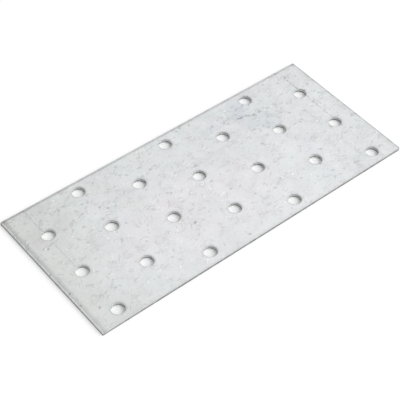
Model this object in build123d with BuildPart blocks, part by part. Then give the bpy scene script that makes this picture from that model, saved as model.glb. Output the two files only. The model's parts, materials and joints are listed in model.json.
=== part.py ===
from build123d import *
import os

# A perforated mending plate: one flat strip of galvanised steel sheet with staggered nail holes.
#
# The plate lies flat. Its origin is the middle of its underside, +X runs along its length,
# +Y across its width and +Z up through its thickness. All sizes are in millimetres.

# the sheet
LENGTH = 140.0
WIDTH = 60.0
THICKNESS = 1.5
CORNER_RADIUS = 0.4

# the nail holes: a grid with every other place punched, like the black squares of a chessboard
HOLE_RADIUS = 2.5
COLUMN_PITCH = 20.0
ROW_PITCH = 10.0
COLUMN_COUNT = 7
ROW_COUNT = 6

# the rounded lip that the punch draws down round the top of each hole
LIP_RADIUS = 0.2

# the torn lower part of each hole's wall, which flares out towards the underside
TEAR_HEIGHT = 0.5
TEAR_FLARE = 0.08

# the shear draws the top surface down a little at the two cut ends
END_REACH = 2.4
END_DROP = 0.2

# the slitting rolls draw it down over a much shorter way along the two long edges
SIDE_REACH = 0.6
SIDE_DROP = 0.1

# sheet steel, in grams per cubic millimetre
STEEL_DENSITY = 7.85e-3


def strip_section(plane: Plane, half_span: float, reach: float, drop: float) -> Sketch:
    """Draw a section of the sheet: a flat strip whose top curves down at both ends.

    Each curve is one arc, which leaves the flat top without a corner.

    Args:
        plane: the plane of the section, whose first axis runs across the strip
        half_span: half of the strip's length in the section
        reach: how far in from each end the curve starts
        drop: how far the top has come down at the end itself

    Returns:
        The closed section.
    """
    with BuildSketch(plane) as section:
        with BuildLine():
            top = Line((0, THICKNESS), (half_span - reach, THICKNESS))
            curve = TangentArc(top @ 1, (half_span, THICKNESS - drop), tangent=top % 1)
            end_face = Line(curve @ 1, (half_span, 0))
            Line(end_face @ 1, (0, 0))
            mirror(about=Plane.YZ)
        make_face()
    return section.sketch


def hole_centres() -> list[tuple[float, float]]:
    """List the centre of every hole, column by column from the -X end.

    Returns:
        The X and Y of each centre: the places of the grid whose column and row add up to an even number.
    """
    first_x = -COLUMN_PITCH * (COLUMN_COUNT - 1) / 2
    first_y = -ROW_PITCH * (ROW_COUNT - 1) / 2
    return [
        (first_x + column * COLUMN_PITCH, first_y + row * ROW_PITCH)
        for column in range(COLUMN_COUNT)
        for row in range(ROW_COUNT)
        if (column + row) % 2 == 0
    ]


with BuildPart() as mending_plate:
    # the outline as seen from above, with four hardly rounded corners
    with BuildSketch(Plane.XY):
        RectangleRounded(LENGTH, WIDTH, CORNER_RADIUS)
    extrude(amount=THICKNESS)

    # trimmed by the sheet as seen from its long side, and then as seen from its end
    side_view = strip_section(Plane.XZ.offset(-WIDTH / 2), LENGTH / 2, END_REACH, END_DROP)
    extrude(side_view, amount=WIDTH, mode=Mode.INTERSECT)
    end_view = strip_section(Plane.YZ.offset(-LENGTH / 2), WIDTH / 2, SIDE_REACH, SIDE_DROP)
    extrude(end_view, amount=LENGTH, mode=Mode.INTERSECT)

    # the punched holes: a drawn lip at the top, a straight sheared wall, and a torn flare at the bottom
    with Locations(*hole_centres()):
        Hole(HOLE_RADIUS)
    top_face = mending_plate.faces().sort_by(Axis.Z)[-1]
    fillet(top_face.inner_wires().edges(), LIP_RADIUS)
    underside = mending_plate.faces().sort_by(Axis.Z)[0]
    chamfer(underside.inner_wires().edges(), TEAR_FLARE, TEAR_HEIGHT, reference=underside)

mending_plate.part.label = "mending_plate"
os.makedirs("parts", exist_ok=True)
export_step(mending_plate.part, "parts/mending_plate.step")

print(f"holes: {len(hole_centres())}")
print(f"mass: {mending_plate.part.volume * STEEL_DENSITY:.1f} g")
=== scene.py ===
"""Looks of a perforated mending plate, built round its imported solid.

The plate is one flat strip of galvanised sheet steel. It was sheared to length from a slit coil and
its nail holes were punched from above, which has rolled over its edges and the rims of its holes.
The plate's sizes are in millimetres until its mesh is made. The lamps' and the floor's are in metres.
"""

import json
import logging
import math
from collections.abc import Iterable
from dataclasses import dataclass, field
from enum import Enum
from functools import reduce
from typing import Any

import bmesh
import bpy
import numpy as np
from mathutils import Matrix, Vector

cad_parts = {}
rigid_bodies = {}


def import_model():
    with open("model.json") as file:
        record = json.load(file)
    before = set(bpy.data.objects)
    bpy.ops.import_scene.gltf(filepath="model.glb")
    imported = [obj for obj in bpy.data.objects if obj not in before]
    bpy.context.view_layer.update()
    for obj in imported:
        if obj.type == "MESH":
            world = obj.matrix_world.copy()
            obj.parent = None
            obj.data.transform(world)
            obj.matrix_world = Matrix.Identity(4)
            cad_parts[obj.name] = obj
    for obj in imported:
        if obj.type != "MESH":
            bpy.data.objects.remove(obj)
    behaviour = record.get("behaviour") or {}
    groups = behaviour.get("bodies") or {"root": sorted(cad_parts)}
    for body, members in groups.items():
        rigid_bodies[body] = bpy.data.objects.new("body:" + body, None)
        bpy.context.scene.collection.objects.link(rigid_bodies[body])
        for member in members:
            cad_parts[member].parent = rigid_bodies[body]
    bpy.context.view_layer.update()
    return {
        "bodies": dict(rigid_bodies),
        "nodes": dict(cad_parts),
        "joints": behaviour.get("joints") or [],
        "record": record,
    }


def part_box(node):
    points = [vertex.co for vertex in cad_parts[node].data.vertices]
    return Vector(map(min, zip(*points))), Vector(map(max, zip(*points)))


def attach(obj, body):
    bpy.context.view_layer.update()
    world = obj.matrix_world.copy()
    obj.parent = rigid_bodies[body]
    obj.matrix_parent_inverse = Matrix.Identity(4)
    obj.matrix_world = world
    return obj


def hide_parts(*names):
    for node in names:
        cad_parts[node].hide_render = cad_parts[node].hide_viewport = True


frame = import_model()

MM = 0.001
PLATE_NODE = "mending_plate"
Triple = tuple[float, float, float]
Colour = Triple

log = logging.getLogger("mending_plate")


def linear(red: float, green: float, blue: float) -> Colour:
    """Turn a screen colour of 0 to 255 into the linear colour that a shader takes.

    Args:
        red: red on the screen, 0 to 255
        green: green on the screen
        blue: blue on the screen

    Returns:
        The three linear values, by the screen's curve: a straight line in the darkest tones, and a
        power above them.
    """
    shares = np.array([red, green, blue]) / 255
    curved = np.where(shares <= 0.04045, shares / 12.92, ((shares + 0.055) / 1.055) ** 2.4)
    return tuple(curved.tolist())


def smooth_step(share: np.ndarray) -> np.ndarray:
    """Ease from 0 to 1: t squared times (3 - 2t), with t held between 0 and 1."""
    t = np.clip(share, 0.0, 1.0)
    return t * t * (3 - 2 * t)


def paired(x: np.ndarray | float, y: np.ndarray | float) -> np.ndarray:
    """Make points of their X and Y, either of which may be the same for all."""
    return np.stack(np.broadcast_arrays(x, y), axis=-1)


# ---------------------------------------------------------------- shader graphs


class Channel:
    """One output of a shader graph, which takes part in Python sums."""

    def __init__(self, graph: "Graph", socket: bpy.types.NodeSocket) -> None:
        """Wrap a socket of a graph."""
        self.graph = graph
        self.socket = socket

    def _math(self, operation: str, *values: Any) -> "Channel":
        """Add one Math node that works on this channel and others."""
        inputs = dict(enumerate(values))
        return self.graph.add("ShaderNodeMath", {"operation": operation}, inputs)[0]

    def __add__(self, other: Any) -> "Channel":
        """Add."""
        return self._math("ADD", self, other)

    __radd__ = __add__

    def __sub__(self, other: Any) -> "Channel":
        """Take other away."""
        return self._math("SUBTRACT", self, other)

    def __rsub__(self, other: Any) -> "Channel":
        """Take this away from other."""
        return self._math("SUBTRACT", other, self)

    def __mul__(self, other: Any) -> "Channel":
        """Multiply."""
        return self._math("MULTIPLY", self, other)

    __rmul__ = __mul__

    def __truediv__(self, other: Any) -> "Channel":
        """Divide by other."""
        return self._math("DIVIDE", self, other)

    def times_plus(self, factor: Any, addend: Any) -> "Channel":
        """Multiply by a factor, then add."""
        return self._math("MULTIPLY_ADD", self, factor, addend)

    def size(self) -> "Channel":
        """Drop the sign."""
        return self._math("ABSOLUTE", self)

    def sine(self) -> "Channel":
        """Take the sine of this, in radians."""
        return self._math("SINE", self)

    def cosine(self) -> "Channel":
        """Take the cosine of this, in radians."""
        return self._math("COSINE", self)

    def root(self) -> "Channel":
        """Take the square root."""
        return self._math("SQRT", self)

    def at_least(self, other: Any) -> "Channel":
        """Take the larger of two."""
        return self._math("MAXIMUM", self, other)

    def between(self, low: float, high: float) -> "Channel":
        """Ease from 0 to 1 between two values of this channel.

        Args:
            low: the value that gives 0
            high: the value that gives 1, which may be the smaller of the two

        Returns:
            The eased share, by the formula of smooth_step.
        """
        if low > high:
            return 1 - self.between(high, low)
        settings = {"interpolation_type": "SMOOTHSTEP", "clamp": True}
        inputs = {"Value": self, "From Min": low, "From Max": high}
        return self.graph.add("ShaderNodeMapRange", settings, inputs)[0]


class Graph:
    """A node tree that is built from Python expressions."""

    def __init__(self, tree: bpy.types.NodeTree) -> None:
        """Empty the tree and keep it."""
        self.tree = tree
        tree.nodes.clear()

    def add(
        self, kind: str, settings: dict[str, Any] | None = None, inputs: dict[Any, Any] | None = None
    ) -> list[Channel]:
        """Add one node.

        Args:
            kind: the node's type name
            settings: its own properties, set first; "stops" are a colour ramp's positions and colours
            inputs: values or channels for its sockets, by name or number

        Returns:
            The node's outputs as channels.
        """
        node = self.tree.nodes.new(kind)
        for name, value in (settings or {}).items():
            if name == "stops":
                self._set_stops(node.color_ramp, value)
            else:
                setattr(node, name, value)
        for name, value in (inputs or {}).items():
            if isinstance(value, Channel):
                self.tree.links.new(value.socket, node.inputs[name])
            else:
                node.inputs[name].default_value = value
        return [Channel(self, socket) for socket in node.outputs]

    @staticmethod
    def _set_stops(ramp: bpy.types.ColorRamp, stops: list[tuple[float, Colour]]) -> None:
        """Give a colour ramp its stops.

        Args:
            ramp: the ramp, which starts with two stops of its own
            stops: positions and colours, from left to right
        """
        while len(ramp.elements) < len(stops):
            ramp.elements.new(1.0)
        for element, (position, colour) in zip(ramp.elements, stops):
            element.position = position
            element.color = (*colour, 1.0)

    def place(self) -> Channel:
        """Read the place on the object, in millimetres."""
        metres = self.add("ShaderNodeTexCoord")[3]
        return self.scaled(metres, (1 / MM, 1 / MM, 1 / MM))

    def scaled(self, vector: Channel, factors: Triple) -> Channel:
        """Multiply a vector by three numbers."""
        return self.add("ShaderNodeVectorMath", {"operation": "MULTIPLY"}, {0: vector, 1: factors})[0]

    def moved(self, vector: Channel, shift: Any, amount: float = 1.0) -> Channel:
        """Add a vector, times an amount, to a vector."""
        settings = {"operation": "MULTIPLY_ADD"}
        return self.add("ShaderNodeVectorMath", settings, {0: shift, 1: (amount,) * 3, 2: vector})[0]

    def turned(self, vector: Channel, degrees: float, squeeze: Triple = (1, 1, 1)) -> Channel:
        """Turn a vector about Z and scale it along its new axes."""
        inputs = {"Vector": vector, "Rotation": (0, 0, math.radians(degrees)), "Scale": squeeze}
        return self.add("ShaderNodeMapping", {"vector_type": "POINT"}, inputs)[0]

    def axes(self, vector: Channel) -> list[Channel]:
        """Split a vector into X, Y and Z."""
        return self.add("ShaderNodeSeparateXYZ", inputs={0: vector})

    def noise(self, vector: Channel, size: float, detail: float = 2.0, rough: float = 0.5) -> Channel:
        """Soft noise of about 0 to 1 whose blobs are about size across."""
        inputs = {"Vector": vector, "Scale": 1 / size, "Detail": detail, "Roughness": rough}
        return self.add("ShaderNodeTexNoise", {"noise_dimensions": "3D"}, inputs)[0]

    def noise_colour(self, vector: Channel, size: float, detail: float = 2.0) -> Channel:
        """Soft noise with a value of its own in red, green and blue."""
        inputs = {"Vector": vector, "Scale": 1 / size, "Detail": detail}
        return self.add("ShaderNodeTexNoise", {"noise_dimensions": "3D"}, inputs)[1]

    def stray(self, vector: Channel, size: float, detail: float = 2.0) -> Channel:
        """Soft noise as a vector that points to any side, in blobs of about size across."""
        return self.moved(self.noise_colour(vector, size, detail), (-0.5, -0.5, -0.5))

    def cells(self, vector: Channel, pitch: float) -> tuple[Channel, Channel]:
        """Scatter points in the plane.

        Args:
            vector: the place
            pitch: about how far apart the points lie

        Returns:
            The way from the nearest point as a vector, and that point's random colour.
        """
        settings = {"voronoi_dimensions": "2D", "feature": "F1"}
        outputs = self.add("ShaderNodeTexVoronoi", settings, {"Vector": vector, "Scale": 1 / pitch})
        inputs = {0: vector, 1: outputs[2]}
        offset = self.add("ShaderNodeVectorMath", {"operation": "SUBTRACT"}, inputs)[0]
        return offset, outputs[1]

    def parts(self, colour: Channel) -> list[Channel]:
        """Split a colour into red, green and blue."""
        return self.add("ShaderNodeSeparateColor", inputs={0: colour})

    def blend(self, first: Any, second: Any, share: Any, how: str = "MIX") -> Channel:
        """Lay a second colour over a first.

        Args:
            first: a colour or a channel
            second: another
            share: how much of the second shows, from 0 to 1
            how: the blend type's name

        Returns:
            The blended colour.
        """
        settings = {"data_type": "RGBA", "blend_type": how}
        inputs = {0: share, 6: self._full(first), 7: self._full(second)}
        return self.add("ShaderNodeMix", settings, inputs)[2]

    @staticmethod
    def _full(colour: Any) -> Any:
        """Give a plain colour its fourth number."""
        return colour if isinstance(colour, Channel) else (*colour, 1.0)

    def grey(self, value: Channel) -> Channel:
        """Make a grey colour of a value."""
        return self.add("ShaderNodeCombineColor", inputs={0: value, 1: value, 2: value})[0]

    def bump(self, height: Channel, strength: float = 1.0) -> Channel:
        """Bend the normal by a height in millimetres."""
        inputs = {"Strength": strength, "Distance": MM, "Height": height}
        return self.add("ShaderNodeBump", inputs=inputs)[0]


# ---------------------------------------------------------------- the plate's shape


@dataclass(frozen=True)
class Sheet:
    """The plate's box and its nail holes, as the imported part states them, in millimetres."""

    low: np.ndarray
    high: np.ndarray
    centres: np.ndarray
    hole_radius: float

    @classmethod
    def from_frame(cls, packed: dict[str, Any]) -> "Sheet":
        """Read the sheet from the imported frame.


        Returns:
            The sheet, with one centre for each bore among the part's mounts.
        """
        low, high = (np.array(corner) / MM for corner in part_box(PLATE_NODE))
        bores = [mount for mount in packed["record"]["mounts"] if mount["kind"] == "bore"]
        centres = np.array([mount["pos_m"][:2] for mount in bores]) / MM
        return cls(low, high, centres, bores[0]["dims"]["r_mm"])

    @property
    def thickness(self) -> float:
        """The sheet's thickness."""
        return float(self.high[2] - self.low[2])

    @property
    def columns(self) -> np.ndarray:
        """The X of each column of holes."""
        return np.unique(self.centres[:, 0].round(3))

    @property
    def rows(self) -> np.ndarray:
        """The Y of each row of holes."""
        return np.unique(self.centres[:, 1].round(3))


@dataclass(frozen=True)
class EdgeDrop:
    """How far a cut edge has been drawn down, and over what width, in millimetres."""

    reach: float
    drop: float

    def eased(self, distance: np.ndarray) -> np.ndarray:
        """Drop as an eased step that is complete at the edge."""
        return self.drop * smooth_step(1 - distance / self.reach)

    def rolled(self, distance: np.ndarray) -> np.ndarray:
        """Drop as a parabola that is steepest at the edge."""
        return self.drop * np.clip(1 - distance / self.reach, 0, 1) ** 2


@dataclass(frozen=True)
class TopFace:
    """The height of the sheet's upper side, which is flat apart from what the tools have drawn down."""

    sheet: Sheet

    # at the sheared ends, the slit sides and round each hole
    near_end: EdgeDrop = EdgeDrop(2.3, 0.2)
    far_end: EdgeDrop = EdgeDrop(2.0, 0.05)
    near_side: EdgeDrop = EdgeDrop(0.5, 0.015)
    far_side: EdgeDrop = EdgeDrop(1.2, 0.32)
    dish: EdgeDrop = EdgeDrop(1.0, 0.012)

    # the radius of the lip that the punch has rolled over
    lip: float = 0.15

    # the deepest sag, and each wave's turn in radians per millimetre of X and of Y, and its start
    sag: float = 0.03
    sag_waves: tuple[Triple, ...] = (
        (0.043, 0.021, 0.4),
        (-0.027, 0.085, 1.9),
        (0.019, -0.05, 4.0),
    )

    def height(self, x: np.ndarray, y: np.ndarray) -> np.ndarray:
        """Work out the height over any points.

        The thickness, less these drops: an eased step at each sheared end and a parabola at each slit
        side, joined as the root of the sum of their squares, a parabola round each hole, and a slow
        sag that is the mean of three plane waves.

        Args:
            x: places along the length
            y: places across the width

        Returns:
            Heights above the underside, of the same shape as x and y.
        """
        sheet, low, high = self.sheet, self.sheet.low, self.sheet.high
        at_ends = np.maximum(self.near_end.eased(x - low[0]), self.far_end.eased(high[0] - x))
        at_sides = np.maximum(self.near_side.rolled(y - low[1]), self.far_side.rolled(high[1] - y))
        offsets = paired(x, y)[..., None, :] - sheet.centres
        from_rim = np.linalg.norm(offsets, axis=-1).min(axis=-1) - sheet.hole_radius
        waves = [np.sin(a * x + b * y + c) for a, b, c in self.sag_waves]
        at_sag = self.sag * (1 + np.mean(waves, axis=0)) / 2
        return sheet.thickness - np.hypot(at_ends, at_sides) - self.dish.rolled(from_rim) - at_sag


@dataclass
class Patch:
    """A grid of points with how bare of zinc each one is, in millimetres."""

    points: np.ndarray
    bare: np.ndarray
    closed: bool = False
    turned: bool = False

    def faces(self) -> np.ndarray:
        """Join neighbouring points into four-sided faces.

        Returns:
            Point numbers, four to a row. The first direction wraps round when the grid is closed.
        """
        across, along = self.points.shape[:2]
        number = np.arange(across * along).reshape(across, along)
        if self.closed:
            number = np.concatenate([number, number[:1]])
        loop = [number[:-1, :-1], number[1:, :-1], number[1:, 1:], number[:-1, 1:]]
        if self.turned:
            loop.reverse()
        return np.stack([corner.ravel() for corner in loop], axis=1)


def ragged(count: int, seed: int, waves: int, height: float) -> np.ndarray:
    """A closed run of uneven values: a sum of waves round the loop with random sizes and starts.

    Args:
        count: how many values
        seed: which run
        waves: the shortest wave goes this many times round
        height: about how far the values stray from 0

    Returns:
        The values.
    """
    dice = np.random.default_rng(seed)
    turns = np.arange(1, waves + 1)
    sizes = dice.normal(size=waves)
    starts = dice.uniform(0, 2 * math.pi, waves)
    angle = 2 * math.pi * np.arange(count)[:, None] / count
    values = (sizes * np.sin(turns * angle + starts)).sum(axis=1)
    return height * values / values.std()


def part_way(start: np.ndarray, end: np.ndarray, shares: np.ndarray) -> np.ndarray:
    """Lead each point of one line to its fellow on another: start plus a share of the way to end.

    Args:
        start: points, one to a row
        end: as many points
        shares: shares of the way, from 0 to 1

    Returns:
        A row of points for each pair.
    """
    return start[:, None] + (end - start)[:, None] * shares[None, :, None]


def raised(plan: np.ndarray, height: np.ndarray | float) -> np.ndarray:
    """Give points of the plan their height."""
    heights = np.broadcast_to(height, plan.shape[:-1])
    return np.concatenate([plan, heights[..., None]], axis=-1)


@dataclass(frozen=True)
class BareWall:
    """How bare of zinc a cut is, from 0 to 1: before its rim, round it, on its land and where it tore."""

    skin: tuple[float, ...]
    rim: tuple[float, float]
    land: tuple[float, ...]
    torn: tuple[float, ...] = (0.9, 1.0, 1.0, 1.0)

    def section(self, over: int, bend: np.ndarray, under: int) -> np.ndarray:
        """Set out the values from the top face round to the underside.

        Args:
            over: how many points lie on the top face, of which the last are near the rim
            bend: angles round the rim, from 0 to a quarter turn
            under: how many points lie underneath, where the zinc is whole

        Returns:
            The values, one for each point of the section.
        """
        whole = np.zeros(over - len(self.skin))
        rim = np.interp(bend, [0.0, bend[-1]], self.rim)
        return np.concatenate([whole, self.skin, rim, self.land, self.torn, np.zeros(under)])


@dataclass
class PlateShape:
    """The plate's mesh: cells round each hole and between the holes, and a band round the outline."""

    sheet: Sheet
    top: TopFace

    # steps in a cell along X and Y, and the first ray's angle as a share of its lower right corner's
    cell_steps: tuple[int, int] = (32, 16)
    first_ray: float = 1.13

    # the band round the outline, its corners, and the small radius along its upper edge
    band: float = 0.9
    corner_radius: float = 0.2
    corner_steps: int = 6
    edge_round: float = 0.08
    edge_steps: int = 4
    edge_bare: BareWall = BareWall((0.02, 0.05), (0.06, 0.3), (0.8, 0.85))

    # round each hole
    lip_steps: int = 6
    hole_bare: BareWall = BareWall((0.1,), (0.2, 0.5), (0.55, 0.6))

    # a cut wall: how much of it is smooth land, and how the torn zone below flares and wanders
    land_share: float = 0.66
    tear_flare: float = 0.08
    tear_rough: float = 0.02
    tear_wander: float = 0.07

    # points to the shortest wave of the tear's line, and to that of its roughness
    wander_points: int = 5
    rough_points: int = 3

    # random runs: this many are set apart for each hole, and the band's start with this one
    hole_seeds: int = 10
    band_seed: int = 900

    # a hole this near to a cell's middle is that cell's, points this near to each other are one, and
    # an edge that bends more than this stays sharp
    hole_gap: float = 0.1
    weld_gap: float = 0.002
    sharp_degrees: float = 40.0
    patches: list[Patch] = field(default_factory=list)

    def _lines(self, places: np.ndarray, low: float, high: float, steps: int) -> list[np.ndarray]:
        """Divide one axis into a row of cells, each into even steps.

        Args:
            places: the middles of the cells
            low: the sheet's lower end
            high: its upper end
            steps: steps in a cell

        Returns:
            The steps' places, cell by cell. The outer cells stop short by the width of the band.
        """
        middles = (places[1:] + places[:-1]) / 2
        ends = np.concatenate([[low + self.band], middles, [high - self.band]])
        return [np.linspace(a, b, steps + 1) for a, b in zip(ends[:-1], ends[1:])]

    def _outline(self, xs: np.ndarray, ys: np.ndarray) -> np.ndarray:
        """Walk once round a cell from its lower right corner, against the clock.

        Args:
            xs: the cell's places along X
            ys: its places along Y

        Returns:
            The points of the walk, two numbers to a row.
        """
        right, back = paired(xs[-1], ys[:-1]), paired(xs[:0:-1], ys[-1])
        left, front = paired(xs[0], ys[:0:-1]), paired(xs[:-1], ys[0])
        return np.concatenate([right, back, left, front])

    def _lifted(self, plan: np.ndarray) -> np.ndarray:
        """Put points of the plan on the top face."""
        return raised(plan, self.top.height(plan[..., 0], plan[..., 1]))

    def _wall_heights(self, upper: np.ndarray, seed: int) -> tuple[np.ndarray, np.ndarray]:
        """Set out a cut wall below its rounded rim.

        Args:
            upper: the height where the wall starts, at each place along it
            seed: which run of uneven values

        Returns:
            The heights and how far the wall has been torn back at each, a row for each place along it.
            The wall is straight down to an uneven line, and below it flares and is rough.
        """
        count = len(upper)
        slow_waves, quick_waves = count // self.wander_points, count // self.rough_points
        level = self.sheet.thickness * (1 - self.land_share) - self.top.lip
        tear = level + ragged(count, seed, slow_waves, self.tear_wander)
        above = np.array([1.0, 0.55, 0.0])
        land = tear[:, None] + (upper - tear)[:, None] * above
        below = np.array([0.85, 0.6, 0.3, 0.0])
        torn = tear[:, None] * below
        rows = range(1, len(below) + 1)
        rough = np.stack([ragged(count, seed + row, quick_waves, 1.0) for row in rows], axis=1)
        steadier_foot = np.array([1.0, 1.0, 1.0, 0.3])
        flare = self.tear_flare * (1 - below) + self.tear_rough * rough * steadier_foot
        heights = np.concatenate([land, torn], axis=1)
        return heights, np.concatenate([np.zeros_like(land), np.clip(flare, 0.0, None)], axis=1)

    def holed_cell(self, xs: np.ndarray, ys: np.ndarray, centre: np.ndarray, seed: int) -> Patch:
        """Make a cell with a hole.

        Rings lead from the cell's outline in to the lip, over it as a quarter circle, down the wall,
        and out again along the underside. Each ring is part of the way between the outline and a circle.

        Args:
            xs: the cell's places along X
            ys: its places along Y
            centre: the hole's middle
            seed: which run of uneven values the torn wall takes

        Returns:
            The cell.
        """
        outline = self._outline(xs, ys)
        count = len(outline)
        start = math.atan2(-len(ys), len(xs)) * self.first_ray
        angle = start + 2 * math.pi * np.arange(count) / count
        ray = paired(np.cos(angle), np.sin(angle))
        radius, lip = self.sheet.hole_radius, self.top.lip

        inward = np.array([0.0, 0.06, 0.13, 0.2, 0.29, 0.4, 0.53, 0.67, 0.79, 0.88, 0.95])
        rim = centre + ray * (radius + lip)
        skin = self._lifted(part_way(outline, rim, inward))

        bend = np.linspace(0, math.pi / 2, self.lip_steps + 1)
        bend_out = radius + lip * (1 - np.sin(bend))
        bend_height = self._lifted(rim)[:, 2:] - lip * (1 - np.cos(bend))
        lips = raised(centre + ray[:, None] * bend_out[None, :, None], bend_height)

        heights, torn = self._wall_heights(bend_height[:, -1], seed)
        wall = raised(centre + ray[:, None] * (radius + torn)[..., None], heights)[:, 1:]
        outward = np.array([0.05, 0.12, 0.25, 0.45, 0.7, 1.0])
        under = raised(part_way(wall[:, -1, :2], outline, outward), 0.0)

        bare = self.hole_bare.section(len(inward), bend, len(outward))
        points = np.concatenate([skin, lips, wall, under], axis=1)
        return Patch(points, np.broadcast_to(bare, points.shape[:2]), closed=True)

    def plain_cell(self, xs: np.ndarray, ys: np.ndarray) -> list[Patch]:
        """Make a cell with no hole.

        Args:
            xs: the cell's places along X
            ys: its places along Y

        Returns:
            An even grid on the top face, and the same grid underneath.
        """
        plan = paired(xs[:, None], ys[None, :])
        none = np.zeros(plan.shape[:2])
        return [Patch(self._lifted(plan), none), Patch(raised(plan, 0.0), none, turned=True)]

    def rim_band(self, xs: np.ndarray, ys: np.ndarray) -> Patch:
        """Make the band round the whole plate.

        A section is carried along the outline: out over the top face, round a small radius, down the
        cut wall, and in again underneath. At the corners the outline is an arc and the band's inner
        edge is one point, so the arc's sections fan out from it.

        Args:
            xs: every place along X on the inner edge
            ys: every place along Y on it

        Returns:
            The band.
        """
        radius = self.corner_radius
        inner, outer, away = [], [], []
        sides = [
            (paired(xs[-1], ys), (1.0, 0.0)),
            (paired(xs[::-1], ys[-1]), (0.0, 1.0)),
            (paired(xs[0], ys[::-1]), (-1.0, 0.0)),
            (paired(xs, ys[0]), (0.0, -1.0)),
        ]
        for number, (line, normal) in enumerate(sides):
            facing = np.array(normal)
            inner.append(line)
            outer.append(line + facing * self.band)
            away.append(np.broadcast_to(facing, line.shape))
            turn = math.pi / 2 * (number + np.linspace(0, 1, self.corner_steps + 1))
            spread = paired(np.cos(turn), np.sin(turn))
            corner = line[-1] + (facing + np.array([-facing[1], facing[0]])) * (self.band - radius)
            inner.append(np.broadcast_to(line[-1], spread.shape))
            outer.append(corner + spread * radius)
            away.append(spread)
        inner_line, outer_line, facing_line = (np.concatenate(part) for part in (inner, outer, away))

        outward = np.array([0.0, 0.22, 0.44, 0.61, 0.78]) / self.band
        flat_end = outer_line - facing_line * self.edge_round
        skin = self._lifted(part_way(inner_line, flat_end, outward))
        bend = np.linspace(0, math.pi / 2, self.edge_steps + 1)
        step_in = self.edge_round * (1 - np.sin(bend))
        bend_plan = outer_line[:, None] - facing_line[:, None] * step_in[None, :, None]
        bend_height = self._lifted(bend_plan)[..., 2] - self.edge_round * (1 - np.cos(bend))
        edge = raised(bend_plan, bend_height)

        heights, torn = self._wall_heights(bend_height[:, -1], self.band_seed)
        wall = raised(outer_line[:, None] - facing_line[:, None] * torn[..., None], heights)[:, 1:]
        inward = np.array([0.12, 0.4, 1.0])
        under = raised(part_way(wall[:, -1, :2], inner_line, inward), 0.0)

        bare = self.edge_bare.section(len(outward), bend, len(inward))
        points = np.concatenate([skin, edge, wall, under], axis=1)
        return Patch(points, np.broadcast_to(bare, points.shape[:2]), closed=True, turned=True)

    def build(self) -> bpy.types.Object:
        """Make every patch and weld them into one closed mesh.

        Returns:
            The plate as an object, with a value named bare at each point.
        """
        sheet = self.sheet
        columns = self._lines(sheet.columns, sheet.low[0], sheet.high[0], self.cell_steps[0])
        rows = self._lines(sheet.rows, sheet.low[1], sheet.high[1], self.cell_steps[1])
        for xs, column in zip(columns, sheet.columns):
            for ys, row in zip(rows, sheet.rows):
                gap = np.abs(sheet.centres - (column, row)).max(axis=1)
                if gap.min() < self.hole_gap:
                    number = int(gap.argmin())
                    seed = self.hole_seeds * number
                    self.patches.append(self.holed_cell(xs, ys, sheet.centres[number], seed))
                else:
                    self.patches.extend(self.plain_cell(xs, ys))
        all_xs = np.unique(np.concatenate(columns).round(6))
        all_ys = np.unique(np.concatenate(rows).round(6))
        self.patches.append(self.rim_band(all_xs, all_ys))
        return self._weld()

    def _weld(self) -> bpy.types.Object:
        """Join the patches where their points meet.

        Returns:
            The plate as an object, smooth but for its sharp edges.
        """
        points, bare, faces, first = [], [], [], 0
        for patch in self.patches:
            points.append(patch.points.reshape(-1, 3))
            bare.append(patch.bare.ravel())
            faces.append(patch.faces() + first)
            first += len(points[-1])
        mesh = bpy.data.meshes.new("galvanised_plate")
        mesh.from_pydata(np.concatenate(points) * MM, [], np.concatenate(faces))
        layer = mesh.attributes.new("bare", "FLOAT", "POINT")
        layer.data.foreach_set("value", np.concatenate(bare).astype(np.float32))
        shell = bmesh.new()
        shell.from_mesh(mesh)
        bmesh.ops.remove_doubles(shell, verts=shell.verts, dist=self.weld_gap * MM)
        shell.to_mesh(mesh)
        shell.free()
        mesh.shade_smooth()
        mesh.set_sharp_from_angle(angle=math.radians(self.sharp_degrees))
        plate = bpy.data.objects.new("galvanised_plate", mesh)
        bpy.context.scene.collection.objects.link(plate)
        return plate


# ---------------------------------------------------------------- the finish


class Trace(Enum):
    """What a fleck or wrinkle is: how far it rises, in millimetres, and how far it darkens."""

    DROSS = (0.13, 0.11)
    PIT = (-0.06, 0.12)
    STROKE = (0.10, 0.06)
    # rubbed flecks lighten instead: partly bright rubbed zinc, partly painted glints
    RUBBED_AND_GLINT = (0.08, -0.42)
    PUCKER = (0.12, 0.06)
    RIPPLE = (0.06, 0.04)

    @property
    def rise(self) -> float:
        """How far it rises."""
        return self.value[0]

    @property
    def dark(self) -> float:
        """How much of the light it takes away."""
        return self.value[1]


@dataclass(frozen=True)
class Flecks:
    """A scatter of small drawn-out flecks, in millimetres."""

    trace: Trace
    pitch: float
    length: float
    width: float
    kept: float
    shift: Triple = (0.0, 0.0, 0.0)
    clump: float = 0.0

    # the smallest fleck's share of the stated size, and how much more the largest has
    smallest: float = 0.55
    size_spread: float = 0.9

    # how far out it is full, how softly the kept are chosen, and where the noise makes a clump
    full: float = 0.35
    soft_choice: float = 0.12
    clumped: tuple[float, float] = (0.45, 0.58)

    def mask(self, graph: Graph, plane: Channel) -> Channel:
        """Mask the flecks: 1 in the middle of each, easing to 0 at its outline.

        Each scattered point has an oval round it, turned by a random angle, of random size. Only a
        share of the points is kept, and with a clump size they are kept in patches of noise.

        Args:
            graph: the tree to add to
            plane: the place on the sheet

        Returns:
            The mask.
        """
        place = graph.moved(plane, self.shift)
        offset, chance = graph.cells(place, self.pitch)
        turn, size, keep = graph.parts(chance)
        x, y, _ = graph.axes(offset)
        angle = turn * (2 * math.pi)
        cosine, sine = angle.cosine(), angle.sine()
        scale = self.smallest + size * self.size_spread
        along = (x * cosine + y * sine) / (scale * self.length / 2)
        across = (y * cosine - x * sine) / (scale * self.width / 2)
        away = (along * along + across * across).root()
        least = 1 - self.kept
        mask = away.between(1.0, self.full) * keep.between(least, least + self.soft_choice)
        if self.clump:
            mask = mask * graph.noise(place, self.clump, 1.0).between(*self.clumped)
        return mask


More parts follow.
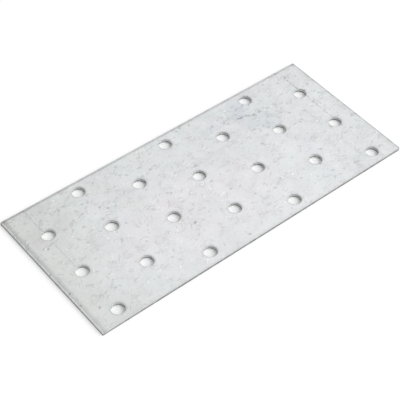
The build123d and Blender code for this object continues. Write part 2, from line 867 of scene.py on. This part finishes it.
@dataclass(frozen=True)
class Wrinkles:
    """Short bent ridges in clumps, in millimetres."""

    trace: Trace
    size: float
    width: float
    clump: float
    spread: tuple[float, float]
    degrees: float = 0.0
    stretch: float = 1.0
    shift: Triple = (0.0, 0.0, 0.0)
    clump_shift: Triple = (50.0, 20.0, 0.0)

    def mask(self, graph: Graph, plane: Channel) -> Channel:
        """Mask the ridges: the lines where a noise is halfway, cut short by a slower noise.

        The noise is drawn out along the direction in which the ridges mostly run.

        Args:
            graph: the tree to add to
            plane: the place on the sheet

        Returns:
            The mask, 1 on the middle of a line.
        """
        place = graph.moved(plane, self.shift)
        drawn = graph.turned(place, -self.degrees, (1 / self.stretch, 1.0, 1.0))
        halfway = (graph.noise(drawn, self.size) - 0.5).size()
        clump = graph.noise(graph.moved(place, self.clump_shift), self.clump)
        return halfway.between(self.width, 0.0) * clump.between(*self.spread)


@dataclass(frozen=True)
class Mark:
    """One oval mark that is large enough to have its own place, in millimetres and degrees from X.

    It is measured by the squares of the distances along and across it, whose sum is 1 on its outline.
    Where that sum is full or less, the mark has all its strength.
    """

    x: float
    y: float
    degrees: float
    length: float
    width: float
    strength: float = 1.0
    full: float = 0.1

    def _measure(self, x: Channel, y: Channel, degrees: float, half: float) -> Channel:
        """Measure from the mark's middle along one of its axes.

        Args:
            x: the place along the sheet
            y: the place across it
            degrees: how far the axis is turned from X
            half: the mark's half size on that axis

        Returns:
            The distance in units of the half size, which is -1 and 1 on the outline.
        """
        by_x = math.cos(math.radians(degrees)) / half
        by_y = math.sin(math.radians(degrees)) / half
        middle = self.x * by_x + self.y * by_y
        return y.times_plus(by_y, x.times_plus(by_x, -middle))

    def mask(self, x: Channel, y: Channel) -> Channel:
        """Mask the mark.

        Args:
            x: the place along the sheet
            y: the place across it

        Returns:
            The mark's strength over its middle, easing to 0 at its outline.
        """
        along = self._measure(x, y, self.degrees, self.length / 2)
        across = self._measure(x, y, self.degrees + 90, self.width / 2)
        away = along.times_plus(along, across * across)
        return away.between(1.0, self.full) * self.strength


@dataclass(frozen=True)
class ScoreLine:
    """A fine line scored across the sheet, in millimetres. It fades out towards its lower end."""

    x: float
    y_high: float
    y_low: float
    width: float
    strength: float

    # how far it fades on past its lower end, how far below its upper end it is full, and its tip
    fade: float = 2.0
    full_from: float = 6.0
    tip: float = 1.0

    def mask(self, x: Channel, y: Channel) -> Channel:
        """Mask the line.

        Args:
            x: the place along the sheet
            y: the place across it

        Returns:
            The line's strength over its middle, easing to 0 at its sides and its lower end.
        """
        across = (x - self.x).size().between(self.width / 2, 0.0)
        fading = y.between(self.y_low - self.fade, self.y_high - self.full_from)
        tip = y.between(self.y_high + self.tip, self.y_high - self.tip)
        return across * fading * tip * self.strength


def largest(masks: Iterable[Channel]) -> Channel:
    """Take the largest of several masks at each place."""
    return reduce(Channel.at_least, masks)


@dataclass(frozen=True)
class Scores:
    """The lines scored across the sheet: two long ones near the ends and three short ones."""

    dark: float = 0.2
    depth: float = 0.05
    lines: tuple[ScoreLine, ...] = (
        ScoreLine(-60.8, 31.0, -30.0, 0.8, 0.95),
        ScoreLine(61.0, 25.0, -32.0, 1.1, 1.4),
        ScoreLine(15.3, 11.5, 0.5, 0.4, 0.7),
        ScoreLine(-28.0, 8.0, 0.0, 0.4, 0.5),
        ScoreLine(-3.5, -2.5, -8.5, 0.4, 0.6),
    )

    # the slow noise that bends them, and the fine one that breaks them up and leaves the least share
    bend_size: float = 5.0
    bend: float = 0.8
    blotch_size: float = 1.3
    blotched: tuple[float, float] = (0.42, 0.58)
    least: float = 0.15

    def mask(self, graph: Graph, place: Channel) -> Channel:
        """Mask all the lines.

        Args:
            graph: the tree to add to
            place: the place on the object

        Returns:
            The mask.
        """
        blotch = graph.noise(place, self.blotch_size, 3.0, 0.7).between(*self.blotched)
        bent = graph.moved(place, graph.stray(place, self.bend_size, 1.0), self.bend)
        x, y, _ = graph.axes(bent)
        return largest(line.mask(x, y) for line in self.lines) * (self.least + blotch)


@dataclass(frozen=True)
class WornAndShadedBand:
    """A dull band along an edge, of worn zinc and of painted shade, in millimetres in from it. A brighter
    rim may lie outside it.
    """

    dark: float
    starts: tuple[float, float]
    rim: tuple[float, float] = (0.0, 0.0)
    rim_cleared: float = 0.0

    def taken(self, distance: Channel, more: Any = 0.0) -> Channel:
        """Say what share of the light the band takes away.

        Args:
            distance: how far in from the edge a place is
            more: how much darker the band is there than elsewhere

        Returns:
            The share, which eases in where the band starts, and is partly cleared again at the rim.
        """
        band = distance.between(*self.starts)
        if self.rim_cleared:
            band = band * (1 - distance.between(*self.rim) * self.rim_cleared)
        return band * (more + self.dark)


@dataclass(frozen=True)
class EdgeWearAndShade:
    """The duller zinc along the edges, where the tools have drawn and rubbed it, and painted shade where
    they have drawn the edges down.
    """

    # the noise that moves the bands: its size, and how far at the far end and at the other edges
    waver_size: float = 2.2
    far_end_waver: float = 0.7
    waver: float = 0.35

    # a broad band and a crease at the near end, and narrow bands along the other edges: worn zinc, and
    # painted shade on the drawn-down edges
    near_end: WornAndShadedBand = WornAndShadedBand(0.12, (2.4, 1.3), (0.7, 0.35), 0.7)
    near_crease: WornAndShadedBand = WornAndShadedBand(0.08, (1.35, 0.95), (0.85, 0.55), 1.0)
    far_end: WornAndShadedBand = WornAndShadedBand(0.06, (2.6, 0.3))
    far_lip: WornAndShadedBand = WornAndShadedBand(0.24, (0.8, 0.2))
    near_side: WornAndShadedBand = WornAndShadedBand(0.05, (1.4, 0.1))
    far_side: WornAndShadedBand = WornAndShadedBand(0.18, (1.7, 0.8), (0.7, 0.3), 0.85)

    # each millimetre of Y darkens the near end's band, and this run of X the far side's
    near_end_slope: float = 0.0012
    far_side_more: float = 0.08
    far_side_run: tuple[float, float] = (-10.0, -60.0)

    # the whole sheet fades towards one far corner, over a run of X and of Y
    corner: float = 0.05
    corner_x: tuple[float, float] = (30.0, 70.0)
    corner_y: tuple[float, float] = (12.0, -26.0)

    def taken(self, graph: Graph, place: Channel, sheet: Sheet) -> Channel:
        """Say what share of the light the wear takes away.

        Args:
            graph: the tree to add to
            place: the place on the object
            sheet: whose edges they are

        Returns:
            Say what share of the light the worn zinc and the painted shade take away.
        """
        noise = graph.noise(place, self.waver_size, 3.0) - 0.5
        x, y, _ = graph.axes(place)
        from_near_end = x - float(sheet.low[0]) + noise * self.waver
        from_far_end = float(sheet.high[0]) - x + noise * self.far_end_waver
        from_near_side = y - float(sheet.low[1]) + noise * self.waver
        from_far_side = float(sheet.high[1]) - y + noise * self.waver

        # the near end's band and crease are painted shade of its drawn-down edge, as well as worn zinc
        near = self.near_end.taken(from_near_end, y * self.near_end_slope)
        near = near + self.near_crease.taken(from_near_end)
        far = self.far_end.taken(from_far_end) + self.far_lip.taken(from_far_end)
        slit = self.far_side.taken(from_far_side, x.between(*self.far_side_run) * self.far_side_more)
        fading = x.between(*self.corner_x) * y.between(*self.corner_y) * self.corner
        return near + far + slit + fading + self.near_side.taken(from_near_side)


@dataclass(frozen=True)
class Unevenness:
    """Soft unevenness of one size, in millimetres: how far it lightens, dulls and lifts the finish."""

    size: float
    detail: float = 2.0
    grain: float = 0.5
    light: float = 0.0
    dulling: float = 0.0
    rise: float = 0.0

    def spread(self, graph: Graph, place: Channel) -> Channel:
        """Make the noise, which strays to either side of 0."""
        return graph.noise(place, self.size, self.detail, self.grain) - 0.5


@dataclass(frozen=True)
class Ground:
    """What the layers of the finish share.

    That is the place on the plate and on the patterns' own plane, how bare of zinc it is, how near to
    the rim of a cut, and slow noises over it.
    """

    place: Channel
    plane: Channel
    x: Channel
    y: Channel
    on_top: Channel
    bare: Channel
    rim: Channel
    cloud: Channel
    stray: Channel
    loose: Channel


@dataclass(frozen=True)
class Coat:
    """A layer's colour, its roughness and its height in millimetres, at each place."""

    colour: Channel
    rough: Channel
    height: Channel


@dataclass(frozen=True)
class CutSteel:
    """The walls where the sheet was cut: a smooth land, drawn out down the wall, over torn grey steel
    that is darkened further as painted shade.
    """

    # the two steels, and the bare values over which the zinc goes, its flecks fade and the land tears
    land: Colour = linear(206, 208, 208)
    # the torn steel's very dark colour is partly painted shade, of the shadow at the foot of each wall
    torn: Colour = linear(60, 61, 62)
    zinc_gone: tuple[float, float] = (0.1, 0.55)
    zinc_smoothed: tuple[float, float] = (0.0, 0.3)
    torn_from: tuple[float, float] = (0.7, 0.95)

    # fine grooves that run down the wall: their size, how drawn out, how much they shade and rise
    groove_size: float = 0.25
    groove_squeeze: float = 0.15
    groove_shade: float = 0.5
    groove_rise: float = 0.03

    # the near long wall has painted shade, darker by this, but not at its near end: it eases in along X
    # and along Y
    slit_painted_shade: float = 0.2
    slit_x: tuple[float, float] = (-68.0, -40.0)
    slit_y: tuple[float, float] = (-28.0, -29.3)

    # how much rougher the rim and the torn zone are
    rim_dulling: float = 0.3
    torn_dulling: float = 0.1

    def over(self, graph: Graph, ground: Ground, zinc: Coat) -> Coat:
        """Lay the cut metal over the zinc, by how bare of zinc each place is.

        Args:
            graph: the tree to add to
            ground: the place and how bare it is
            zinc: what lies under it, which shows where the wall isn't bare

        Returns:
            The two together.
        """
        bare = ground.bare
        drawn = graph.scaled(ground.place, (1.0, 1.0, self.groove_squeeze))
        grooves = graph.noise(drawn, self.groove_size)
        torn = bare.between(*self.torn_from)
        # where the wall tore it turns to the dark torn colour, which is partly painted shade at the
        # wall's foot
        steel = graph.blend(self.land, self.torn, torn)
        slit = ground.x.between(*self.slit_x) * ground.y.between(*self.slit_y)
        even = 1 - self.groove_shade / 2
        # painted shade that darkens the near long wall
        shade = graph.grey(even + grooves * self.groove_shade - slit * self.slit_painted_shade)
        steel = graph.blend(steel, shade, 1.0, "MULTIPLY")
        colour = graph.blend(zinc.colour, steel, bare.between(*self.zinc_gone))
        rough = zinc.rough + ground.rim * self.rim_dulling + torn * self.torn_dulling
        height = zinc.height * (1 - bare.between(*self.zinc_smoothed)) + grooves * bare * self.groove_rise
        return Coat(colour, rough, height)


@dataclass(frozen=True)
class Galvanised:
    """Hot-dipped zinc on cold-rolled steel: pale, satin, faintly patched, with small raised flecks."""

    # the zinc's tint at places along X, how far the clouds move it, and the tints of its patches
    tints: tuple[tuple[float, Colour], ...] = (
        (-56.0, linear(208, 210, 209)),
        (-40.0, linear(215, 217, 218)),
        (-8.0, linear(217, 219, 220)),
        (22.0, linear(217, 219, 221)),
        (60.0, linear(219, 221, 222)),
    )
    tint_cloud: float = 0.2
    blue: Colour = linear(209, 213, 217)
    lilac: Colour = linear(220, 219, 222)
    lilac_patch: Mark = Mark(-12.0, -8.0, 0.0, 102.0, 44.0, 0.9)
    hue_size: float = 9.0
    hue_share: float = 0.055

    # the surface as a whole: relief is the share of every height that shows, and slope the darkening
    # with each millimetre of Y
    roughness: float = 0.38
    metallic: float = 0.5
    relief: float = 0.89
    brightness: float = 0.995
    slope: float = 0.001
    dark_dulling: float = 0.4

    # the zinc towards a cut: fully changed where it is this bare, to darker and less metallic by these
    rim_bare: float = 0.2
    rim_dark: float = 0.05
    rim_metal_lost: float = 0.4

    # unevenness at four sizes
    cloud: Unevenness = Unevenness(24.0, light=0.07)
    wide: Unevenness = Unevenness(9.0, light=0.15, dulling=0.08)
    mottle: Unevenness = Unevenness(2.6, 3.0, 0.6, light=0.16, dulling=0.16, rise=0.037)
    fine: Unevenness = Unevenness(0.7, 2.0, 0.6, light=0.12, rise=0.034)
    wide_shift: Triple = (40.0, 3.0, 9.0)

    # how strong the mottling and the flecks are: the usual share, what the far end adds, over which
    # run of X, and what each millimetre of Y adds
    strength: float = 0.97
    strength_more: float = 0.24
    strength_run: tuple[float, float] = (5.0, 70.0)
    strength_slope: float = 0.004

    # a fine noise bends the patterns, and a slower one the single marks and the patches' outlines
    pattern_noise: float = 0.9
    pattern_bend: float = 0.7
    patch_noise: float = 3.0
    patch_bend: float = 5.0
    mark_bend: float = 1.8

    # the patterns on the top, above the wall's middle, lie this far along from those underneath
    wall_middle: tuple[float, float] = (0.3, 0.9)
    top_shift: float = 160.0
    patterns: tuple[Flecks | Wrinkles, ...] = (
        Flecks(Trace.DROSS, 5.6, 1.5, 0.9, 0.42),
        Flecks(Trace.PIT, 2.4, 0.9, 0.6, 0.32, (23.0, 5.0, 0.0), 8.0),
        Flecks(Trace.STROKE, 2.2, 2.6, 0.65, 0.45, (11.0, 41.0, 0.0), 6.0),
        # these flecks are partly bright rubbed zinc and partly painted glints
        Flecks(Trace.RUBBED_AND_GLINT, 1.7, 0.9, 0.42, 0.38, (7.0, 29.0, 0.0), 8.0),
        Wrinkles(Trace.PUCKER, 1.9, 0.12, 3.6, (0.56, 0.70), 8.0, 2.0),
        Wrinkles(Trace.PUCKER, 1.7, 0.12, 3.8, (0.58, 0.72), 84.0, 2.4, (71.0, 33.0, 0.0)),
        Wrinkles(Trace.RIPPLE, 1.1, 0.14, 5.0, (0.50, 0.64), 140.0, 1.8, (17.0, 8.0, 0.0)),
    )

    # single dark specks, then those that belong to the blue stain, and the stain itself
    mark_dark: float = 0.22
    mark_rise: float = 0.12
    marks: tuple[Mark, ...] = (
        Mark(-63.5, 9.5, 30.0, 1.6, 1.2),
        Mark(-48.2, 10.2, 10.0, 1.4, 0.9),
        Mark(-36.1, 11.8, 60.0, 1.4, 0.9),
        Mark(-64.7, -21.0, 20.0, 1.7, 1.2),
        Mark(-15.9, -11.7, 30.0, 1.5, 1.0),
        Mark(-3.8, -27.5, 15.0, 1.6, 1.1),
        Mark(13.5, 27.3, 70.0, 1.2, 0.8),
        Mark(1.8, -0.3, 25.0, 1.6, 1.0),
        Mark(-12.5, 17.9, 5.0, 1.9, 0.9),
        Mark(-69.1, -10.7, 85.0, 1.6, 0.9),
        Mark(-69.0, -17.0, 85.0, 1.3, 0.9),
        Mark(31.9, 18.3, 3.0, 4.4, 1.3),
        Mark(35.0, 17.6, -22.0, 3.4, 1.5),
        Mark(37.3, 16.3, -30.0, 2.6, 1.3),
        Mark(40.2, 16.4, 25.0, 2.4, 1.5),
        Mark(33.6, 22.9, 10.0, 2.2, 1.2, 0.6),
        Mark(38.9, 9.9, 10.0, 1.9, 1.1, 0.6),
        Mark(41.0, 12.5, -50.0, 1.9, 1.1, 0.6),
        Mark(43.3, 11.6, -63.0, 9.0, 2.4, 0.4),
    )
    stains: tuple[Mark, ...] = (
        Mark(32.3, 22.5, 75.0, 15.0, 9.0, 0.9),
        Mark(34.6, 13.4, 5.0, 13.0, 8.0, 0.9),
        Mark(39.3, 12.0, 60.0, 14.0, 8.5, 0.9),
    )

    scores: Scores = Scores()
    # the bands along the edges darken for worn zinc and as painted shade of the drawn-down edges
    edge_wear_and_shade: EdgeWearAndShade = EdgeWearAndShade()
    cut_steel: CutSteel = CutSteel()

    def _ground(self, graph: Graph) -> Ground:
        """Read the place on the plate and lay the slow noises over it.

        The patterns lie on a plane of their own. It is the place without its height, bent by a fine
        noise, and moved along X on the top, so that the underside has another part of the patterns.

        Args:
            graph: the tree to add to

        Returns:
            What the layers share.
        """
        place = graph.place()
        x, y, z = graph.axes(place)
        bare = graph.add("ShaderNodeAttribute", {"attribute_name": "bare"})[2]
        rim = bare.between(0.0, self.rim_bare)
        on_top = z.between(*self.wall_middle)
        shift = graph.add("ShaderNodeCombineXYZ", inputs={0: on_top * self.top_shift, 1: 0.0, 2: 0.0})[0]
        flat = graph.scaled(place, (1.0, 1.0, 0.0))
        bent = graph.moved(flat, graph.stray(flat, self.pattern_noise), self.pattern_bend)
        plane = graph.moved(bent, shift)
        cloud = self.cloud.spread(graph, place)
        stray = graph.stray(place, self.patch_noise)
        loose = graph.moved(place, stray, self.patch_bend)
        return Ground(place, plane, x, y, on_top, bare, rim, cloud, stray, loose)

    def _tint(self, graph: Graph, ground: Ground, sheet: Sheet) -> Channel:
        """Lay out the zinc's tint, which changes slowly along the sheet and in patches.

        Args:
            graph: the tree to add to
            ground: the place and the slow noises
            sheet: the plate that wears the finish

        Returns:
            The colour.
        """
        length = float(sheet.high[0] - sheet.low[0])
        along = ground.x / length + 0.5 + ground.cloud * self.tint_cloud
        stops = [(spot / length + 0.5, colour) for spot, colour in self.tints]
        tint = graph.add("ShaderNodeValToRGB", {"stops": stops}, {0: along})[0]
        x, y, _ = graph.axes(ground.loose)
        stain = largest(mark.mask(x, y) for mark in self.stains) * ground.on_top
        tint = graph.blend(tint, self.lilac, self.lilac_patch.mask(x, y))
        tint = graph.blend(tint, self.blue, stain)
        hue = graph.noise_colour(ground.loose, self.hue_size, 1.0)
        return graph.blend(tint, hue, self.hue_share, "OVERLAY")

    def _marks(self, graph: Graph, ground: Ground) -> Channel:
        """Mask the single marks, with outlines bent by noise.

        Args:
            graph: the tree to add to
            ground: the place and the slow noises

        Returns:
            The mask.
        """
        bent = graph.moved(ground.plane, ground.stray, self.mark_bend)
        x, y, _ = graph.axes(bent)
        on_sheet = x - self.top_shift
        return largest(mark.mask(on_sheet, y) for mark in self.marks)

    def _zinc(self, graph: Graph, ground: Ground, sheet: Sheet) -> Coat:
        """Build the zinc coat: its tint, times a light that the unevenness, flecks, worn edges and
        painted shade change.

        Args:
            graph: the tree to add to
            ground: the place and the slow noises
            sheet: the plate that wears the finish

        Returns:
            The coat.
        """
        tint = self._tint(graph, ground, sheet)
        marks = self._marks(graph, ground)
        place, x, y = ground.place, ground.x, ground.y
        wide = self.wide.spread(graph, graph.moved(place, self.wide_shift))
        mottle = self.mottle.spread(graph, ground.loose)
        fine = self.fine.spread(graph, place)

        light = mottle * self.mottle.light + fine * self.fine.light
        rough = self.roughness + mottle * self.mottle.dulling + wide * self.wide.dulling
        height = mottle * self.mottle.rise + fine * self.fine.rise
        for pattern in self.patterns:
            mask, trace = pattern.mask(graph, ground.plane), pattern.trace
            light = mask.times_plus(-trace.dark, light)
            height = mask.times_plus(trace.rise, height)

        # all of that is stronger towards the far end and the far side
        more = x.between(*self.strength_run) * self.strength_more
        gain = more + y * self.strength_slope + self.strength
        # worn zinc along the edges and round the cuts, with painted shade on the drawn-down edges
        wear_and_shade = self.edge_wear_and_shade.taken(graph, place, sheet) + ground.rim * self.rim_dark
        clouded = ground.cloud * self.cloud.light + wide * self.wide.light
        even = self.brightness + clouded - y * self.slope - wear_and_shade
        scores = self.scores.mask(graph, place)
        light = light.times_plus(gain, even) - marks * self.mark_dark - scores * self.scores.dark
        height = height * gain + marks * self.mark_rise - scores * self.scores.depth
        rough = rough + (1 - light) * self.dark_dulling
        return Coat(graph.blend(tint, graph.grey(light), 1.0, "MULTIPLY"), rough, height)

    def material(self, sheet: Sheet) -> bpy.types.Material:
        """Build the material.

        Args:
            sheet: the plate that wears it

        Returns:
            A material that reads the place on the object and the value named bare.
        """
        made = bpy.data.materials.new("galvanised_steel")
        made.use_nodes = True
        graph = Graph(made.node_tree)
        ground = self._ground(graph)
        coat = self.cut_steel.over(graph, ground, self._zinc(graph, ground, sheet))
        shader = graph.add(
            "ShaderNodeBsdfPrincipled",
            inputs={
                "Base Color": coat.colour,
                "Metallic": self.metallic - ground.rim * self.rim_metal_lost,
                "Roughness": coat.rough,
                "Normal": graph.bump(coat.height, self.relief),
            },
        )[0]
        graph.add("ShaderNodeOutputMaterial", inputs={0: shader})
        return made


# ---------------------------------------------------------------- the studio


@dataclass(frozen=True)
class Softbox:
    """A square soft lamp that faces the plate, in metres. One may be kept out of reflections."""

    name: str
    towards: Triple
    distance: float
    side: float
    radiance: float
    in_gloss: bool = True

    def place(self) -> bpy.types.Object:
        """Hang the lamp.

        Returns:
            The lamp, whose power is its radiance times pi times its area.
        """
        lamp = bpy.data.lights.new(self.name, "AREA")
        lamp.shape = "SQUARE"
        lamp.size = self.side
        lamp.energy = self.radiance * math.pi * self.side**2
        holder = bpy.data.objects.new(self.name, lamp)
        direction = Vector(self.towards).normalized()
        holder.location = direction * self.distance
        holder.rotation_euler = direction.to_track_quat("Z", "Y").to_euler()
        holder.visible_camera = False
        holder.visible_glossy = self.in_gloss
        bpy.context.scene.collection.objects.link(holder)
        return holder


@dataclass(frozen=True)
class View:
    """Where the camera stands, as angles round the point on the plate's top that it looks at.

    The aim, the distance and the lens are in millimetres, and the clipping is in metres.
    """

    aim: tuple[float, float] = (-7.63, -4.56)
    azimuth: float = -43.07
    elevation: float = 48.06
    roll: float = 4.32
    distance: float = 417.9
    lens: float = 104.6
    sensor: float = 36.0
    clipping: tuple[float, float] = (0.01, 20.0)

    def place(self, height: float) -> bpy.types.Object:
        """Set up the camera.

        Args:
            height: the height of the plate's top, in millimetres

        Returns:
            The camera, turned so that the plate's long side climbs to the right.
        """
        around, above = math.radians(self.azimuth), math.radians(self.elevation)
        level = math.cos(above)
        away = Vector((math.sin(around) * level, -math.cos(around) * level, math.sin(above)))
        camera = bpy.data.cameras.new("camera")
        camera.lens = self.lens
        camera.sensor_width = self.sensor
        camera.clip_start, camera.clip_end = self.clipping
        holder = bpy.data.objects.new("camera", camera)
        turn = away.to_track_quat("Z", "Y").to_matrix().to_4x4()
        spin = Matrix.Rotation(math.radians(self.roll), 4, "Z")
        spot = Vector((*self.aim, height)) + away * self.distance
        holder.matrix_world = Matrix.Translation(spot * MM) @ turn @ spin
        bpy.context.scene.collection.objects.link(holder)
        bpy.context.scene.camera = holder
        return holder


@dataclass(frozen=True)
class Studio:
    """A pale floor, a white surround and soft lamps."""

    # the surround's strength as a light
    ambient: float = 0.4

    # the floor's size in metres, and how far it lies below the plate in millimetres
    floor_side: float = 4.0
    floor_gap: float = 0.02

    # its paint, the white that the eye sees on it, the share of that white round the plate and beneath
    # it, and over how many millimetres the one share passes into the other
    floor_colour: Colour = (0.98, 0.98, 0.98)
    floor_white: float = 1.135
    # the larger share round the plate is painted light that lifts its shadow there
    floor_glow: float = 0.5
    hole_glow: float = 0.08
    glow_edge: float = 0.5
    lamps: tuple[Softbox, ...] = (
        Softbox("key", (0.48, -0.58, 0.60), 5.0, 4.6, 3.65, in_gloss=False),
        Softbox("card", (0.42, 0.20, 0.885), 1.2, 1.2, 0.3),
    )

    @staticmethod
    def _seen(graph: Graph) -> Channel:
        """Mask the rays that the eye sees: straight, in a gloss, and through glass."""
        straight, _, _, in_gloss, _, _, through, *_ = graph.add("ShaderNodeLightPath")
        return straight.at_least(in_gloss).at_least(through)

    def surround(self) -> None:
        """Make the world white to the eye and in gloss, and dimmer as a light."""
        world = bpy.data.worlds.new("surround")
        world.use_nodes = True
        graph = Graph(world.node_tree)
        seen = self._seen(graph)
        strength = self.ambient + seen * (1 - self.ambient)
        sky = graph.add("ShaderNodeBackground", inputs={"Color": (1, 1, 1, 1), "Strength": strength})[0]
        graph.add("ShaderNodeOutputWorld", inputs={0: sky})
        bpy.context.scene.world = world

    def floor(self, sheet: Sheet) -> bpy.types.Object:
        """Lay the floor just below the plate's underside.

        Args:
            sheet: the plate, beneath which the floor hardly glows, so that its holes stay shaded

        Returns:
            A flat sheet whose paint shows as white where nothing shades it.
        """
        half = self.floor_side / 2
        corners = [(-half, -half), (half, -half), (half, half), (-half, half)]
        mesh = bpy.data.meshes.new("floor")
        mesh.from_pydata([(x, y, -self.floor_gap * MM) for x, y in corners], [], [(0, 1, 2, 3)])
        paint = bpy.data.materials.new("floor_paint")
        paint.use_nodes = True
        graph = Graph(paint.node_tree)
        matt = graph.add("ShaderNodeBsdfDiffuse", inputs={"Color": (*self.floor_colour, 1.0)})[0]
        white = {"Color": (1, 1, 1, 1), "Strength": self.floor_white}
        glow = graph.add("ShaderNodeEmission", inputs=white)[0]
        x, y, _ = graph.axes(graph.place())
        end, side = (float(edge) for edge in sheet.high[:2])
        # round the plate the floor glows more than beneath it: painted light that lifts the plate's
        # shadow there
        past_end = x.size().between(end - self.glow_edge, end)
        past_side = y.size().between(side - self.glow_edge, side)
        clear = past_end.at_least(past_side)
        share = self._seen(graph) * clear.times_plus(self.floor_glow - self.hole_glow, self.hole_glow)
        mixed = graph.add("ShaderNodeMixShader", inputs={0: share, 1: matt, 2: glow})[0]
        graph.add("ShaderNodeOutputMaterial", inputs={0: mixed})
        mesh.materials.append(paint)
        laid = bpy.data.objects.new("floor", mesh)
        bpy.context.scene.collection.objects.link(laid)
        return laid

    def build(self, sheet: Sheet) -> None:
        """Set up the surround, the floor, the lamps and plain colour management.

        Args:
            sheet: the plate that the floor lies under
        """
        self.surround()
        self.floor(sheet)
        for lamp in self.lamps:
            lamp.place()
        bpy.context.scene.view_settings.view_transform = "Standard"


def main() -> None:
    """Build the plate and the studio round it."""
    logging.basicConfig(level=logging.INFO, format="%(name)s: %(message)s")
    sheet = Sheet.from_frame(frame)
    plate = PlateShape(sheet, TopFace(sheet)).build()
    plate.data.materials.append(Galvanised().material(sheet))
    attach(plate, "root")
    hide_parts(PLATE_NODE)
    log.info("%s: %d faces, %d holes", plate.name, len(plate.data.polygons), len(sheet.centres))
    Studio().build(sheet)
    View().place(sheet.thickness)
    log.info("studio: floor, surround, lamps and camera")


if __name__ == "__main__":
    main()
